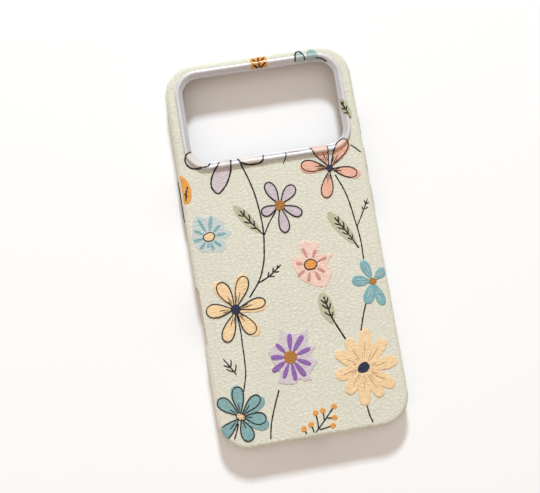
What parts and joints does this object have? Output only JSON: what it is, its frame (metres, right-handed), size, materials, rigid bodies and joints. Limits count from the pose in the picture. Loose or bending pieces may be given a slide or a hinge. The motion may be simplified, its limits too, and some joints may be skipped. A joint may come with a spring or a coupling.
{
  "type": "phone case",
  "caption": "Protective phone case with a pebbled leather back, soft side frame, plated camera surround, sprung side buttons and a printed flower pattern.",
  "frame": {"origin": "middle of the bounding box's bottom face: the front lip lies on z = 0", "axes": "+X across the width, +Y along the length towards the camera end, +Z out of the leather back"},
  "size_m": [0.0838, 0.1676, 0.0139],
  "materials": {
    "soft_frame": "matte soft elastomer with a satin sheen",
    "back_plate": "fine moulded texture",
    "leather": "matte cream leather with a pebbled grain",
    "lining": "short brushed microfibre",
    "ring_plating": "bright plating",
    "tape": "thin foam tape",
    "button_metal": "polished dark anodised metal with a bright rim",
    "plunger": "soft matte elastomer",
    "gasket": "soft matte elastomer",
    "ink_cream_yellow": "matte printed ink",
    "ink_lilac": "matte printed ink",
    "ink_purple": "matte printed ink",
    "ink_teal": "matte printed ink",
    "ink_sky": "matte printed ink",
    "ink_peach": "matte printed ink",
    "ink_blush": "matte printed ink",
    "ink_rose": "matte printed ink",
    "ink_orange": "matte printed ink",
    "ink_russet": "matte printed ink",
    "ink_navy": "matte printed ink",
    "ink_sage": "matte printed ink",
    "ink_line": "matte printed ink"
  },
  "bodies": {
    "case": {"bumper_frame": "soft_frame", "back_plate": "back_plate", "leather_cover": "leather", "microfibre_lining": "lining", "camera_ring": "ring_plating", "ring_tape": "tape", "power_gasket": "gasket", "action_gasket": "gasket", "volume_up_gasket": "gasket", "volume_down_gasket": "gasket"},
    "power_button": {"power_cap": "button_metal", "power_plunger": "plunger"},
    "action_button": {"action_cap": "button_metal", "action_plunger": "plunger"},
    "volume_up_button": {"volume_up_cap": "button_metal", "volume_up_plunger": "plunger"},
    "volume_down_button": {"volume_down_cap": "button_metal", "volume_down_plunger": "plunger"}
  },
  "joints": [
    {"name": "power_press", "type": "slide", "parent": "case", "child": "power_button", "axis": [1, 0, 0], "range_m": [0, 0.0004], "stiffness_N_per_m": 3000},
    {"name": "action_press", "type": "slide", "parent": "case", "child": "action_button", "axis": [-1, 0, 0], "range_m": [0, 0.0004], "stiffness_N_per_m": 3000},
    {"name": "volume_up_press", "type": "slide", "parent": "case", "child": "volume_up_button", "axis": [-1, 0, 0], "range_m": [0, 0.0004], "stiffness_N_per_m": 3000},
    {"name": "volume_down_press", "type": "slide", "parent": "case", "child": "volume_down_button", "axis": [-1, 0, 0], "range_m": [0, 0.0004], "stiffness_N_per_m": 3000}
  ]
}
